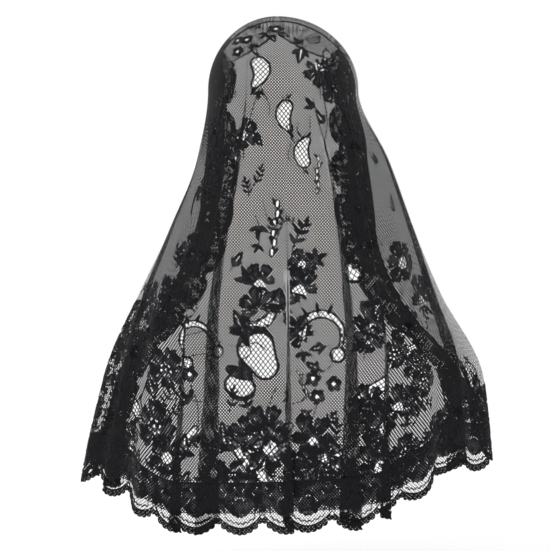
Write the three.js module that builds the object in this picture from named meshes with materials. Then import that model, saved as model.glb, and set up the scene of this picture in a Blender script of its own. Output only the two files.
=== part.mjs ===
// A black lace mantilla veil in the shape that it takes on a wearer, seen in the frame
// +Z up, +X to the wearer's right, and the wearer facing +Y, so the back of the veil is at -Y.
// The origin is on the inner face of the net where the top of the head carries the veil.
// The veil is a D of net with one scalloped edging sewn round it: along the curved hem and
// along the straight edge that frames the face. Each is a thin wall, open below and in front.
// Lengths are in millimetres and angles in degrees.

import * as THREE from "three";
import { mergeVertices } from "three/addons/utils/BufferGeometryUtils.js";

// Driving dimensions of the draped veil
const DROP = 648; // crown to the lowest point of the hem, behind
const LEFT_HALF_WIDTH = 242; // middle plane to the outermost fold on the wearer's left
const RIGHT_HALF_WIDTH = 266; // the same on the right, where the veil was pulled further out
const BACK_DEPTH = 175; // crown to the hem behind
const FRONT_DEPTH = 130; // crown to the hem of the front flaps
const BROW_LEVEL = 95; // crown down to where the head is widest
const HAIRLINE_REACH = 78; // crown forward to the edge over the forehead
const CROWN_LENGTH = 110; // half length of the oval that the head's top makes from the side
const NET_WALL = 1.2;
const EDGING_WALL = 1.2;
const SEAM_GAP = 0.8; // clearance where the edging meets the net and itself

// The edging
const EDGING_WIDTH = 62; // seam to the bottom of a scallop
const SCALLOP_PITCH = 58;
const SCALLOP_DEPTH = 17; // cusp to the bottom of a scallop
const HEADING_WIDTH = 27; // dense band next to the seam
const LOBE_DEPTH = 12; // how far the dense band hangs down in the middle of a scallop
const SCALLOP_FULLNESS = 0.8; // 1 is a sine, and less is rounder with sharper cusps
const PICOT_BAND = 11; // outer border of the scallop
const SMALLEST_OPENING = 3; // a lower rim closer than this to the lobe is moved away from it

// Share of the way down the cloth that lies on the head
const DOME_SHARE = 0.25;
// Share of the half width of the cloth whose threads all start at the crown
const CROWN_FAN = 0.5;

// Level sections of the drape. level is a share of DROP, and left, right, back and front are
// shares of the four sizes above. edge is the angle from straight behind round to the face edge.
const SECTIONS = [
  { level: 0.147, left: 0.37, right: 0.397, back: 0.6, front: 0.71, edge: 140 },
  { level: 0.287, left: 0.43, right: 0.545, back: 0.645, front: 0.68, edge: 150 },
  { level: 0.425, left: 0.57, right: 0.662, back: 0.7, front: 0.71, edge: 153 },
  { level: 0.558, left: 0.718, right: 0.776, back: 0.78, front: 0.846, edge: 145 },
  { level: 0.729, left: 0.88, right: 0.958, back: 0.88, front: 0.938, edge: 122 },
  { level: 1.0, left: 1.0, right: 1.0, back: 1.0, front: 1.0, edge: 114 },
];

// Where the hem ends. across runs from -1 at the left face edge to 1 at the right one, and
// drop is a share of DROP.
const HEM = [
  { across: -1, drop: 0.91 },
  { across: -0.86, drop: 0.92 },
  { across: -0.6, drop: 0.925 },
  { across: -0.43, drop: 0.95 },
  { across: -0.28, drop: 1 },
  { across: 0, drop: 0.995 },
  { across: 0.21, drop: 0.985 },
  { across: 0.34, drop: 0.94 },
  { across: 0.47, drop: 0.89 },
  { across: 0.63, drop: 0.9 },
  { across: 0.86, drop: 0.82 },
  { across: 1, drop: 0.8 },
];

// The folds. across is the fold's middle and half its half width, both as shares of the half
// width of the cloth. ridge stands out, lap makes a pleat that doubles back, and swing opens it
// outwards to the right (above 0) or the left, in mm at the hem. start is the share of the fall
// below the head where the fold begins.
const FOLDS = [
  { across: -0.68, half: 0.09, ridge: 17, lap: 0, swing: 0, start: 0.1 },
  { across: -0.52, half: 0.08, ridge: 0, lap: 30, swing: -10, start: 0.1 },
  { across: -0.38, half: 0.057, ridge: 11, lap: 0, swing: 0, start: 0.25 },
  { across: -0.27, half: 0.05, ridge: 0, lap: 20, swing: -8, start: 0.35 },
  { across: -0.18, half: 0.07, ridge: 0, lap: 36, swing: -11, start: -0.1 },
  { across: -0.07, half: 0.04, ridge: 6, lap: 0, swing: 0, start: 0.2 },
  { across: 0.025, half: 0.045, ridge: 0, lap: 21, swing: 8, start: 0.05 },
  { across: 0.17, half: 0.07, ridge: 0, lap: 36, swing: 11, start: -0.1 },
  { across: 0.26, half: 0.046, ridge: 0, lap: 18, swing: 8, start: 0.2 },
  { across: 0.37, half: 0.057, ridge: 12, lap: 0, swing: 0, start: 0.3 },
  { across: 0.5, half: 0.078, ridge: 0, lap: 33, swing: 11, start: 0 },
  { across: 0.67, half: 0.09, ridge: 18, lap: 0, swing: 0, start: 0.1 },
];

const FOLD_GROWTH = 0.8; // power by which a fold deepens on its way down

// The front flaps hang in even gathers
const FLAP_GATHERS = 3; // on each side
const FLAP_START = 0.76; // share of the half width of the cloth where they begin
const FLAP_RISE = 0.33; // share of the flap over which its gathers reach their depth
const FLAP_DEPTH = 15; // inner to outer turn, at the hem
const FLAP_DEPTH_AT_BROW = 3;

// Faceting
const DOME_ROWS = 5;
const FALL_ROWS = 13;
const FOLD_TURNS = [-1, -0.6, -0.27, 0.27, 0.6, 1]; // shares of a fold's half width
const CLOSEST_COLUMNS = 0.012; // as shares of the half width of the cloth, at the hem
const WIDEST_COLUMNS = 0.045;
const COLUMNS_SETTLE = 0.4; // share of the fall by which the columns follow the folds
const SCALLOP_STEPS = [0, 0.13, 0.31, 0.5, 0.69, 0.87]; // shares of a scallop, from its cusp
const WINDOW_STEPS = [1, 4]; // the first and last step that has an opening
const ROW_SAMPLES = 360; // steps along each half of a row when its length is measured
const PASSES = 4; // rounds in which a point settles at its distances from two edges
const WELD = 1e-3; // corners closer than this are one

const radians = THREE.MathUtils.degToRad;
const { clamp, lerp } = THREE.MathUtils;

// A smooth curve through a table's points that never overshoots them.
function throughTable(rows, from, to) {
  const x = rows.map((row) => row[from]);
  const y = rows.map((row) => row[to]);
  const slope = x.slice(1).map((_, i) => (y[i + 1] - y[i]) / (x[i + 1] - x[i]));
  const tangent = x.map((_, i) => {
    if (i === 0 || i === x.length - 1) return 0;
    const [before, after] = [slope[i - 1], slope[i]];
    return before * after <= 0 ? 0 : (2 * before * after) / (before + after);
  });
  return (at) => {
    const inside = clamp(at, x[0], x[x.length - 1]);
    let i = 0;
    while (i < x.length - 2 && inside > x[i + 1]) i += 1;
    const step = x[i + 1] - x[i];
    const t = (inside - x[i]) / step;
    const start = (1 + 2 * t) * (1 - t) ** 2 * y[i] + t * (1 - t) ** 2 * step * tangent[i];
    const end = t * t * (3 - 2 * t) * y[i + 1] + t * t * (t - 1) * step * tangent[i + 1];
    return start + end;
  };
}

const section = Object.fromEntries(
  ["left", "right", "back", "front", "edge"].map((to) => [to, throughTable(SECTIONS, "level", to)]),
);
const hemDrop = throughTable(HEM, "across", "drop");

// Height of the head's top above or below the crown, forward along the middle plane.
const ridgeHeight = (y) => -BROW_LEVEL * (1 - Math.sqrt(1 - (y / CROWN_LENGTH) ** 2));

// Where the thread at this share of the cloth's half width starts on the middle plane.
function ridgeReach(across) {
  const share = clamp((Math.abs(across) - CROWN_FAN) / (1 - CROWN_FAN), 0, 1);
  return HAIRLINE_REACH * share * share * (3 - 2 * share);
}

// How far the folds move a point out from, and along, the smooth drape.
function foldAt(across, fall) {
  let out = 0;
  let along = 0;
  for (const fold of FOLDS) {
    const q = (across - fold.across) / fold.half;
    if (Math.abs(q) >= 1 || fall <= fold.start) continue;
    const grown = clamp((fall - fold.start) / (1 - fold.start), 0, 1) ** FOLD_GROWTH;
    const window = (1 + Math.cos(Math.PI * q)) / 2;
    const turn = -Math.sin(Math.PI * q) * window * grown;
    out += fold.ridge * window * grown + fold.swing * turn;
    along += fold.lap * turn;
  }
  const flap = (Math.abs(across) - FLAP_START) / (1 - FLAP_START);
  if (flap > 0) {
    const depth = lerp(FLAP_DEPTH_AT_BROW, FLAP_DEPTH, clamp(fall, 0, 1)) / 2;
    const swell = Math.min(1, flap / FLAP_RISE);
    out += depth * swell * Math.sin(2 * Math.PI * FLAP_GATHERS * flap);
  }
  return { out, along };
}

// A point of the drape below the head. fall is 0 where the head is widest and 1 at the hem.
function fallPoint(across, fall, folded = true) {
  const z = lerp(-BROW_LEVEL, -DROP * hemDrop(across), fall);
  const level = -z / DROP;
  const angle = radians(across * section.edge(level));
  const halfWidth =
    across < 0 ? LEFT_HALF_WIDTH * section.left(level) : RIGHT_HALF_WIDTH * section.right(level);
  const depth =
    Math.cos(angle) > 0 ? BACK_DEPTH * section.back(level) : FRONT_DEPTH * section.front(level);
  const point = new THREE.Vector3(halfWidth * Math.sin(angle), -depth * Math.cos(angle), z);
  if (!folded) return point;
  const tangent = new THREE.Vector2(halfWidth * Math.cos(angle), depth * Math.sin(angle)).normalize();
  const { out, along } = foldAt(across, fall);
  point.x += out * tangent.y + along * tangent.x;
  point.y += -out * tangent.x + along * tangent.y;
  return point;
}

// A point of the cloth's middle surface. down is 0 on the middle plane of the head's top and
// 1 at the hem.
function clothPoint(across, down) {
  const lift = NET_WALL / 2;
  if (down >= DOME_SHARE) {
    const point = fallPoint(across, (down - DOME_SHARE) / (1 - DOME_SHARE));
    point.z += lift;
    return point;
  }
  const turn = (Math.PI / 2) * (down / DOME_SHARE);
  const start = ridgeReach(across);
  const rim = fallPoint(across, 0);
  const top = ridgeHeight(start);
  return new THREE.Vector3(
    rim.x * Math.sin(turn),
    lerp(start, rim.y, Math.sin(turn)),
    lift + lerp(rim.z, top, Math.cos(turn)),
  );
}

// A point of the cloth with its outward direction and its direction along the row. The outward
// direction is level below the head, so that two walls that meet at a seam have parallel ends.
function clothCorner(across, down) {
  const step = 1e-3;
  const before = Math.max(-1, across - step);
  const after = Math.min(1, across + step);
  const upper = Math.max(0, down - step);
  const lower = Math.min(1, down + step);
  const sideways = clothPoint(after, down).sub(clothPoint(before, down));
  const downwards = clothPoint(across, lower).sub(clothPoint(across, upper));
  const normal = downwards.cross(sideways);
  if (down < step) {
    const y = ridgeReach(across);
    const rise = (ridgeHeight(y + 1) - ridgeHeight(y - 1)) / 2;
    normal.set(0, -rise, 1);
    sideways.set(0, 1, rise).multiplyScalar(across < 0 ? -1 : 1);
  }
  if (down >= DOME_SHARE) normal.z = 0;
  return { point: clothPoint(across, down), normal: normal.normalize(), sideways: sideways.normalize() };
}

// Lengths along one half of a row, from the middle of the back to the face edge.
const measuredRows = new Map();
function measuredRow(side, down) {
  const key = `${side} ${down.toFixed(6)}`;
  if (!measuredRows.has(key)) {
    const lengths = [0];
    let last = clothPoint(0, down);
    for (let i = 1; i <= ROW_SAMPLES; i += 1) {
      const point = clothPoint((side * i) / ROW_SAMPLES, down);
      lengths.push(lengths[i - 1] + point.distanceTo(last));
      last = point;
    }
    measuredRows.set(key, lengths);
  }
  return measuredRows.get(key);
}

// The share at which an increasing list of lengths reaches a length.
function shareAt(lengths, length) {
  let low = 0;
  let high = lengths.length - 1;
  while (high - low > 1) {
    const middle = (low + high) >> 1;
    if (lengths[middle] > length) high = middle;
    else low = middle;
  }
  const step = lengths[high] - lengths[low];
  return (low + clamp((length - lengths[low]) / (step || 1), 0, 1)) / (lengths.length - 1);
}

// How far across the cloth a point lies that is this far in from the face edge.
function acrossFromFace(side, down, inset) {
  const lengths = measuredRow(side, down);
  return side * shareAt(lengths, lengths[ROW_SAMPLES] - inset);
}

// How far down the cloth a point lies that is this far up from the hem.
function downFromHem(across, inset) {
  const top = fallPoint(across, 0, false);
  const bottom = fallPoint(across, 1, false);
  return 1 - ((1 - DOME_SHARE) * inset) / top.distanceTo(bottom);
}

// A straight-sided line through corners of the cloth, which the walls on both sides of a seam
// follow. Each corner also has the value at which the line passes it, in increasing order.
function onLine(line, at) {
  let i = 0;
  while (i < line.length - 2 && at > line[i + 1].at) i += 1;
  const share = clamp((at - line[i].at) / (line[i + 1].at - line[i].at), 0, 1);
  const between = (key) => line[i][key].clone().lerp(line[i + 1][key], share);
  return {
    point: between("point"),
    normal: between("normal").normalize(),
    sideways: between("sideways").normalize(),
  };
}

// A closed wall round a grid of the cloth. grid[j][i] is a corner, and hasCell says which cells
// are cloth. The first row is joined to itself where it crosses the head's top.
function clothShell({ grid, wall, hasCell = () => true, joinedTop = false }) {
  const positions = [];
  const indices = [];
  const rows = grid.length - 1;
  const columns = grid[0].length - 1;
  const corners = grid.flat();
  for (const half of [wall / 2, -wall / 2]) {
    for (const { point, normal } of corners) {
      positions.push(...point.clone().addScaledVector(normal, half).toArray());
    }
  }
  const present = (i, j) => i >= 0 && j >= 0 && i < columns && j < rows && hasCell(i, j);
  const quad = (a, b, c, d) => indices.push(a, b, c, a, c, d);
  const outer = (i, j) => j * (columns + 1) + i;
  const inner = (i, j) => corners.length + outer(i, j);
  for (let j = 0; j < rows; j += 1) {
    for (let i = 0; i < columns; i += 1) {
      if (!present(i, j)) continue;
      quad(outer(i, j), outer(i, j + 1), outer(i + 1, j + 1), outer(i + 1, j));
      quad(inner(i, j), inner(i + 1, j), inner(i + 1, j + 1), inner(i, j + 1));
      if (!present(i, j - 1) && !(joinedTop && j === 0)) {
        quad(outer(i, j), outer(i + 1, j), inner(i + 1, j), inner(i, j));
      }
      if (!present(i, j + 1)) {
        quad(outer(i + 1, j + 1), outer(i, j + 1), inner(i, j + 1), inner(i + 1, j + 1));
      }
      if (!present(i - 1, j)) {
        quad(outer(i, j + 1), outer(i, j), inner(i, j), inner(i, j + 1));
      }
      if (!present(i + 1, j)) {
        quad(outer(i + 1, j), outer(i + 1, j + 1), inner(i + 1, j + 1), inner(i + 1, j));
      }
    }
  }
  const raw = new THREE.BufferGeometry();
  raw.setAttribute("position", new THREE.Float32BufferAttribute(positions, 3));
  raw.setIndex(indices);
  const merged = mergeVertices(raw, WELD);
  const index = merged.index.array;
  const kept = [];
  for (let t = 0; t < index.length; t += 3) {
    const [a, b, c] = [index[t], index[t + 1], index[t + 2]];
    if (a !== b && b !== c && c !== a) kept.push(a, b, c);
  }
  merged.setIndex(kept);
  merged.computeVertexNormals();
  return merged;
}

// Columns of the net at the hem, at the places where each fold and gather turns.
function hemColumns() {
  const turns = FOLDS.flatMap((fold) => FOLD_TURNS.map((turn) => fold.across + turn * fold.half));
  const quarters = 4 * FLAP_GATHERS;
  for (let i = 0; i <= quarters; i += 1) {
    const across = lerp(FLAP_START, 1, i / quarters);
    turns.push(across, -across);
  }
  turns.sort((a, b) => a - b);
  const apart = turns.filter((turn, i) => i === 0 || turn - turns[i - 1] > CLOSEST_COLUMNS);
  return apart.flatMap((turn, i) => {
    if (i === 0 || turn - apart[i - 1] < WIDEST_COLUMNS) return [turn];
    return [(turn + apart[i - 1]) / 2, turn];
  });
}

// The corners of the net, which lies inside the edging. The columns are even and the same on
// both sides on the head, where the two halves meet, and go over into those of the hem below.
function netGrid() {
  const atHem = hemColumns();
  const last = atHem.length - 1;
  const inset = EDGING_WIDTH + SEAM_GAP;
  return Array.from({ length: DOME_ROWS + FALL_ROWS + 1 }, (_, j) =>
    atHem.map((hemAcross, i) => {
      const fall = Math.max(0, (j - DOME_ROWS) / FALL_ROWS);
      const blend = Math.min(1, fall / COLUMNS_SETTLE);
      const share = lerp((2 * i) / last - 1, hemAcross, blend);
      const side = share < 0 ? -1 : 1;
      let across = share;
      let down = (DOME_SHARE * j) / DOME_ROWS;
      for (let pass = 0; pass < PASSES; pass += 1) {
        if (j > DOME_ROWS) down = lerp(DOME_SHARE, downFromHem(across, inset), fall);
        const limit = Math.abs(acrossFromFace(side, down, inset));
        const from = lerp(CROWN_FAN, FLAP_START, fall);
        const flap = Math.max(0, Math.abs(share) - from) / (1 - from);
        across = side * (flap > 0 ? lerp(from, limit, flap) : Math.abs(share));
      }
      return { across, down, ...clothCorner(across, down) };
    }),
  );
}

// Distances of the edging's four lines from the seam, at a share of a scallop from its cusp:
// the seam, the lower side of the dense band, the upper side of the outer border, and the edge.
function edgingLines(share) {
  const swell = Math.sin(Math.PI * share);
  const edge = EDGING_WIDTH - SCALLOP_DEPTH * (1 - swell ** SCALLOP_FULLNESS);
  const lobe = HEADING_WIDTH + LOBE_DEPTH * swell;
  const border = Math.max(edge - PICOT_BAND, lobe + SMALLEST_OPENING);
  return [0, lobe, border, Math.max(edge, border + SMALLEST_OPENING)];
}

// The corners of a strip of edging. place(along, inset) gives the corner for a length along the
// strip and a distance in from its outer edge, and seam(along) the corner at the seam.
function edgingGrid(length, place, seam) {
  const steps = SCALLOP_STEPS.length;
  const scallops = Math.max(2, Math.round(length / SCALLOP_PITCH));
  const columns = Array.from({ length: scallops * steps + 1 }, (_, i) => {
    const share = SCALLOP_STEPS[i % steps];
    const along = (length / scallops) * (Math.floor(i / steps) + share);
    const lines = edgingLines(share).slice(1);
    return [seam(along), ...lines.map((line) => place(along, EDGING_WIDTH - line))];
  });
  return columns[0].map((_, j) => columns.map((column) => column[j]));
}

// The corners of the edging that frames the face, from the right hem up over the forehead to the
// left hem.
function faceEdgingGrid(net) {
  const inset = EDGING_WIDTH + SEAM_GAP;
  const halves = [1, -1].map((side) => {
    const seam = net.map((row) => ({ ...row[side < 0 ? 0 : row.length - 1] }));
    for (const corner of seam) {
      corner.at = corner.down;
      corner.point = corner.point.clone().addScaledVector(corner.sideways, side * SEAM_GAP);
    }
    const last = seam[seam.length - 1].down;
    const lengths = [0];
    for (let i = 1; i <= ROW_SAMPLES; i += 1) {
      const before = clothPoint(side, (last * (i - 1)) / ROW_SAMPLES);
      lengths.push(lengths[i - 1] + before.distanceTo(clothPoint(side, (last * i) / ROW_SAMPLES)));
    }
    return { side, seam, last, lengths, length: lengths[ROW_SAMPLES] };
  });
  const [right, left] = halves;
  const locate = (along) => {
    const half = along < right.length ? right : left;
    return { half, share: shareAt(half.lengths, Math.abs(along - right.length)) };
  };
  const place = (along, fromEdge) => {
    const { half, share } = locate(along);
    let across = half.side;
    let down = 0;
    for (let pass = 0; pass < PASSES; pass += 1) {
      down = share * downFromHem(across, inset);
      across = acrossFromFace(half.side, down, fromEdge);
    }
    return { across, down, ...clothCorner(across, down) };
  };
  const seam = (along) => {
    const { half, share } = locate(along);
    return onLine(half.seam, share * half.last);
  };
  return edgingGrid(right.length + left.length, place, seam);
}

// The corners of the edging along the curved hem, from the left face edge round the back to the
// right one. Its seam follows the net and the ends of the face edging.
function hemEdgingGrid(net, face) {
  const left = measuredRow(-1, 1)[ROW_SAMPLES];
  const right = measuredRow(1, 1)[ROW_SAMPLES];
  const rightEnd = face.slice(1).map((row) => row[0]);
  const leftEnd = face.slice(1).map((row) => row[row.length - 1]).reverse();
  const seamLine = [...leftEnd, ...net[net.length - 1], ...rightEnd].map((corner) => ({
    ...corner,
    at: corner.across,
    point: corner.point.clone().setZ(corner.point.z - SEAM_GAP),
  }));
  const across = (along) => {
    const side = along < left ? -1 : 1;
    return side * shareAt(measuredRow(side, 1), Math.abs(along - left));
  };
  const place = (along, fromEdge) => {
    const at = across(along);
    return clothCorner(at, downFromHem(at, fromEdge));
  };
  const seam = (along) => {
    const at = across(along);
    const onNeighbour = at >= seamLine[0].at && at <= seamLine[seamLine.length - 1].at;
    return onNeighbour ? onLine(seamLine, at) : place(along, EDGING_WIDTH);
  };
  return edgingGrid(left + right, place, seam);
}

// The openings of an edging lie between its dense band and its outer border.
function edgingGeometry(grid) {
  const [first, last] = WINDOW_STEPS;
  const hasCell = (i, j) => {
    const step = i % SCALLOP_STEPS.length;
    return j !== 1 || step < first || step > last;
  };
  return clothShell({ grid, wall: EDGING_WALL, hasCell });
}

function lace(name, geometry, color, roughness) {
  const material = new THREE.MeshStandardMaterial({ color, roughness, metalness: 0 });
  const mesh = new THREE.Mesh(geometry, material);
  mesh.name = name;
  return mesh;
}

const netCorners = netGrid();
const faceCorners = faceEdgingGrid(netCorners);
const hemCorners = hemEdgingGrid(netCorners, faceCorners);

const veil = new THREE.Group();
veil.name = "mantilla_veil";
const net = clothShell({ grid: netCorners, wall: NET_WALL, joinedTop: true });
veil.add(lace("lace_panel", net, 0x232326, 0.75));
veil.add(lace("hem_edging", edgingGeometry(hemCorners), 0x18181b, 0.7));
veil.add(lace("face_edging", edgingGeometry(faceCorners), 0x18181b, 0.7));

export default veil;
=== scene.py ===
"""Looks for a black floral lace mantilla veil, in the worn drape of its solids.

The drape is one smooth surface with two coordinates: across runs from -1 at the left face edge,
over the back, to 1 at the right face edge, and down from 0 on top of the head to 1 at the hem.
Everything in the lace is drawn flat and then laid on that surface: the fine net, the flowers,
leaves and scrolls of close cloth, the coarse net in their openings, the cords and the edging.
Lengths are in millimetres and angles in degrees. The scene itself is in metres.
"""

import math

import bpy
import numpy as np
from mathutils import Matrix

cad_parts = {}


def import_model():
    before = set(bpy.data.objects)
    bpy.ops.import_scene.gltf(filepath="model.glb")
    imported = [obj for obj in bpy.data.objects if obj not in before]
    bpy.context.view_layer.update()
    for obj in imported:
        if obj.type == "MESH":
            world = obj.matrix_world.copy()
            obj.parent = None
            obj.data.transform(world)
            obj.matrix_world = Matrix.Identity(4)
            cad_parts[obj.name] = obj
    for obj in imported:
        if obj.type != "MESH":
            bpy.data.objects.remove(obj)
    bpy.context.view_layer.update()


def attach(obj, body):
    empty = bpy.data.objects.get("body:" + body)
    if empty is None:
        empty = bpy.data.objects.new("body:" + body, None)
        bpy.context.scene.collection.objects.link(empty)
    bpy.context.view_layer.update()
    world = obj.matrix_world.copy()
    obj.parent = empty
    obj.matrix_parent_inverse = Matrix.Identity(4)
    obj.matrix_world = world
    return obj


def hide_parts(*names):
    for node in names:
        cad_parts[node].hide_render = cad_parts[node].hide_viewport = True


MM = 0.001

# Driving dimensions of the drape, the same as in the solids
DROP = 648.0
LEFT_HALF_WIDTH = 242.0
RIGHT_HALF_WIDTH = 266.0
BACK_DEPTH = 175.0
FRONT_DEPTH = 130.0
BROW_LEVEL = 95.0
HAIRLINE_REACH = 78.0
CROWN_LENGTH = 110.0
NET_WALL = 1.2
EDGING_WIDTH = 62.0
SCALLOP_PITCH = 58.0
SCALLOP_DEPTH = 17.0
SCALLOP_FULLNESS = 0.8
DOME_SHARE = 0.25
CROWN_FAN = 0.5
FOLD_GROWTH = 0.8
FLAP_GATHERS = 3
FLAP_START = 0.76
FLAP_RISE = 0.33
FLAP_DEPTH = 15.0
FLAP_DEPTH_AT_BROW = 3.0
UNDER_FOLD = 0.42  # share of a fold's half width that is hidden under it
LEAST_LAP = 10.0  # of a fold that hides anything

# level, left, right, back, front, edge: shares of the sizes above, and the face edge's angle
SECTIONS = np.array([
    (0.147, 0.370, 0.397, 0.600, 0.710, 140.0),
    (0.287, 0.430, 0.545, 0.645, 0.680, 150.0),
    (0.425, 0.570, 0.662, 0.700, 0.710, 153.0),
    (0.558, 0.718, 0.776, 0.780, 0.846, 145.0),
    (0.729, 0.880, 0.958, 0.880, 0.938, 122.0),
    (1.000, 1.000, 1.000, 1.000, 1.000, 114.0),
])

# across, share of DROP at which the hem ends
HEM = np.array([
    (-1, 0.91), (-0.86, 0.92), (-0.6, 0.925), (-0.43, 0.95), (-0.28, 1), (0, 0.995),
    (0.21, 0.985), (0.34, 0.94), (0.47, 0.89), (0.63, 0.9), (0.86, 0.82), (1, 0.8),
])

# across, half, ridge, lap, swing, start
FOLDS = [
    (-0.68, 0.09, 17, 0, 0, 0.1),
    (-0.52, 0.08, 0, 30, -10, 0.1),
    (-0.38, 0.057, 11, 0, 0, 0.25),
    (-0.27, 0.05, 0, 20, -8, 0.35),
    (-0.18, 0.07, 0, 36, -11, -0.1),
    (-0.07, 0.04, 6, 0, 0, 0.2),
    (0.025, 0.045, 0, 21, 8, 0.05),
    (0.17, 0.07, 0, 36, 11, -0.1),
    (0.26, 0.046, 0, 18, 8, 0.2),
    (0.37, 0.057, 12, 0, 0, 0.3),
    (0.5, 0.078, 0, 33, 11, 0),
    (0.67, 0.09, 18, 0, 0, 0.1),
]

# The lace
NET_PITCH = 2.75  # from thread to thread of the fine net
NET_THREAD = 0.5  # thread width as a share of the pitch
FLAP_NET_THREAD = 0.22  # on the front flaps
FLAP_NET_FROM = (0.5, 0.64)  # across, where it begins to be and where it is that thin
FOLD_NET_THREAD = 0.38  # in the hidden layers of folds
HEAD_SIDE_THREAD = 0.8  # where the net turns forward beside the head
HEAD_SIDE_TURN = (0.55, 0.85)  # sideways share of its direction, where that begins and is full
HEAD_SIDE_DOWN = {-1: (0.3, 0.42), 1: (0.13, 0.22)}  # full down to the first, gone at the second
FOLD_NET_SCALE = 1.6  # finer there, so that the three layers don't beat against each other
EDGING_NET_THREAD = 0.58
LIGHT_NET_THREAD = 0.2
PICOT_NET_THREAD = 0.78
NET_SLANT = 48.5  # angle of the net's threads from level
COARSE_PITCH = (5.4, 6.8)  # width and height of a coarse diamond
COARSE_THREAD = 1.25
COARSE_STEP = 1.3  # between the points of its threads
COARSE_TUCK = 0.9  # by which they run on under the cloth
CORD = 1.7  # cords that join the flowers
CLOTH_SHEER = 0.22  # how much light the thinnest parts of the close cloth let through
CLOTH_LIFT = 0.35  # close cloth above the middle of the net
RIM_LIFT = 0.5  # how far the outline cord stands above that
RIM_WIDTH = 0.9
PICOT_CORD = 0.8
DRAWING_STEP = 1.15  # grid on which flat shapes are drawn
NET_STEP = 2.0  # grid of the edging's nets

# Faceting of the net
NET_COLUMNS = 310
NET_ROWS = 224
NET_TOP = 0.0005  # down of the highest row, so near the ridge that no slit shows
EDGING_TOP = 0.003  # least down of the face edging
FACE_SAMPLES = 600  # along each half of the face edge
SEAM_ROUNDS = 4  # to find where the seams of both edgings meet
MOTIF_MARGIN = 1.5  # of a motif's reach, within which its windows are looked for
PICOT_SIDES = 14

# The camera stands where the photograph was taken from
CAMERA_DISTANCE = 2200.0
CAMERA_LEVEL = -335.0
CAMERA_ASIDE = -2.0
VIEW_WIDTH = 716.0
FLOOR_LEVEL = -760.0
FLOOR_HALF = 6.0  # metres


# Curves through tables

def through_table(x, y):
    """A smooth curve through points that never overshoots them."""
    slope = np.diff(y) / np.diff(x)
    tangent = np.zeros(len(x))
    before, after = slope[:-1], slope[1:]
    rising = before * after > 0
    total = np.where(rising, before + after, 1.0)
    tangent[1:-1] = np.where(rising, 2 * before * after / total, 0.0)

    def curve(at):
        inside = np.clip(at, x[0], x[-1])
        i = np.clip(np.searchsorted(x, inside) - 1, 0, len(x) - 2)
        step = x[i + 1] - x[i]
        t = (inside - x[i]) / step
        start = (1 + 2 * t) * (1 - t) ** 2 * y[i] + t * (1 - t) ** 2 * step * tangent[i]
        return start + t * t * (3 - 2 * t) * y[i + 1] + t * t * (t - 1) * step * tangent[i + 1]

    return curve


section_left, section_right, section_back, section_front, section_edge = (
    through_table(SECTIONS[:, 0], SECTIONS[:, k]) for k in range(1, 6)
)
hem_drop = through_table(HEM[:, 0], HEM[:, 1])


# The drape

def ridge_height(y):
    return -BROW_LEVEL * (1 - np.sqrt(1 - (y / CROWN_LENGTH) ** 2))


def ridge_reach(across):
    share = np.clip((np.abs(across) - CROWN_FAN) / (1 - CROWN_FAN), 0, 1)
    return HAIRLINE_REACH * share * share * (3 - 2 * share)


def fold_at(across, fall):
    """How far the folds move a point out from, and along, the smooth drape."""
    out = np.zeros_like(across)
    along = np.zeros_like(across)
    for middle, half, ridge, lap, swing, start in FOLDS:
        q = (across - middle) / half
        grown = np.clip((fall - start) / (1 - start), 0, 1) ** FOLD_GROWTH
        window = np.where(np.abs(q) < 1, (1 + np.cos(np.pi * q)) / 2, 0)
        turn = -np.sin(np.pi * q) * window * grown
        out += ridge * window * grown + swing * turn
        along += lap * turn
    flap = np.maximum(0, (np.abs(across) - FLAP_START) / (1 - FLAP_START))
    depth = (FLAP_DEPTH_AT_BROW + (FLAP_DEPTH - FLAP_DEPTH_AT_BROW) * np.clip(fall, 0, 1)) / 2
    out += depth * np.minimum(1, flap / FLAP_RISE) * np.sin(2 * np.pi * FLAP_GATHERS * flap)
    return out, along


def under_fold(across, down):
    """Whether a point of the cloth is in the hidden layers of a lapped fold."""
    fall = np.maximum(0, (down - DOME_SHARE) / (1 - DOME_SHARE))
    hidden = np.zeros(np.shape(across), bool)
    for middle, half, _, lap, _, start in FOLDS:
        grown = np.clip((fall - start) / (1 - start), 0, 1) ** FOLD_GROWTH
        hidden |= (np.abs(across - middle) < UNDER_FOLD * half) & (lap * grown > LEAST_LAP)
    return hidden


def fall_point(across, fall, folded=True):
    """A point of the drape below the head: fall is 0 at the brow and 1 at the hem."""
    z = -BROW_LEVEL + fall * (BROW_LEVEL - DROP * hem_drop(across))
    level = -z / DROP
    angle = np.radians(across * section_edge(level))
    half_width = np.where(
        across < 0, LEFT_HALF_WIDTH * section_left(level), RIGHT_HALF_WIDTH * section_right(level)
    )
    depth = np.where(
        np.cos(angle) > 0, BACK_DEPTH * section_back(level), FRONT_DEPTH * section_front(level)
    )
    x = half_width * np.sin(angle)
    y = -depth * np.cos(angle)
    if folded:
        tx, ty = half_width * np.cos(angle), depth * np.sin(angle)
        length = np.hypot(tx, ty)
        tx, ty = tx / length, ty / length
        out, along = fold_at(across, fall)
        x = x + out * ty + along * tx
        y = y - out * tx + along * ty
    return np.stack([x, y, z], axis=-1)


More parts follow.
